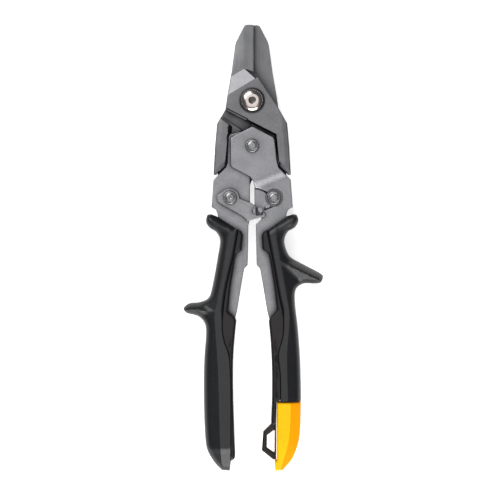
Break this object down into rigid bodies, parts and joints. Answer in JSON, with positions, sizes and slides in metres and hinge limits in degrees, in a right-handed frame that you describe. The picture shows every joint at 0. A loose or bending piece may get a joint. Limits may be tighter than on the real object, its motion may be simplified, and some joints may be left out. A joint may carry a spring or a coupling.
{
  "type": "aviation snips",
  "caption": "Compound-action aviation snips with crossed shear blades, riveted steel handles, finger-guard grips, a latch and a tether loop.",
  "frame": {"origin": "under the middle of the tool's outline as it lies flat on its back face, at the lowest point of the grips", "axes": "+Y along the tool towards the blade tip, +X to the right of the front face with the tip up, +Z out of the front face"},
  "size_m": [0.0779, 0.2496, 0.018],
  "materials": {
    "blade_steel": "dark satin forged steel, ground lengthwise",
    "handle_steel": "bead-blasted satin steel plate",
    "polished_steel": "polished nickel plate",
    "plated_steel": "satin zinc plate",
    "spring_steel": "dark oiled spring steel",
    "bush_bronze": "sintered bronze",
    "core_plastic": "black moulded nylon, satin",
    "cover_rubber": "black thermoplastic elastomer, fine matte grain",
    "cap_plastic": "yellow-orange moulded plastic, satin"
  },
  "bodies": {
    "left_handle": {"left_front_plate": "handle_steel", "left_back_plate": "handle_steel", "left_spacer": "plated_steel", "left_rivet": "plated_steel", "centre_rivet": "plated_steel", "centre_bush": "bush_bronze", "return_spring": "spring_steel", "left_stop_pin": "plated_steel", "latch_washer": "plated_steel", "left_handle_rivet_upper": "plated_steel", "left_handle_rivet_lower": "plated_steel", "left_grip_core": "core_plastic", "left_grip_cover": "cover_rubber"},
    "right_handle": {"right_front_plate": "handle_steel", "right_back_plate": "handle_steel", "right_spacer": "plated_steel", "right_rivet": "plated_steel", "right_stop_pin": "plated_steel", "latch_stud": "plated_steel", "right_handle_rivet_upper": "plated_steel", "right_handle_rivet_lower": "plated_steel", "right_grip_core": "core_plastic", "right_grip_cover": "cover_rubber", "right_end_cap": "cap_plastic"},
    "back_blade": {"back_blade": "blade_steel"},
    "front_blade": {"front_blade": "blade_steel", "pivot_bolt": "polished_steel", "pivot_washer": "spring_steel", "nut_washer": "plated_steel", "pivot_nut": "plated_steel"},
    "latch": {"latch_plate": "handle_steel"}
  },
  "joints": [
    {"name": "handle_fold", "type": "hinge", "parent": "left_handle", "child": "right_handle", "pos_m": [-0.00065, 0.05695, 0.009], "axis": [0, 0, 1], "range_deg": [0, 36], "stiffness_Nm_per_rad": 0.6, "springref_deg": 63.03, "deforming": ["return_spring"]},
    {"name": "back_blade_swing", "type": "hinge", "parent": "left_handle", "child": "back_blade", "pos_m": [-0.01295, 0.02805, 0.009], "axis": [0, 0, 1], "range_deg": [0, 9]},
    {"name": "front_blade_swing", "type": "hinge", "parent": "right_handle", "child": "front_blade", "pos_m": [0.01165, 0.02805, 0.009], "axis": [0, 0, 1], "range_deg": [-9, 0]},
    {"name": "latch_swing", "type": "hinge", "parent": "left_handle", "child": "latch", "pos_m": [-0.01295, 0.02805, 0.009], "axis": [0, 0, 1], "range_deg": [-22, 4]}
  ],
  "couplings": [
    {"joint": "back_blade_swing", "follows": "handle_fold", "ratio": 0.25},
    {"joint": "front_blade_swing", "follows": "handle_fold", "ratio": -0.25}
  ]
}
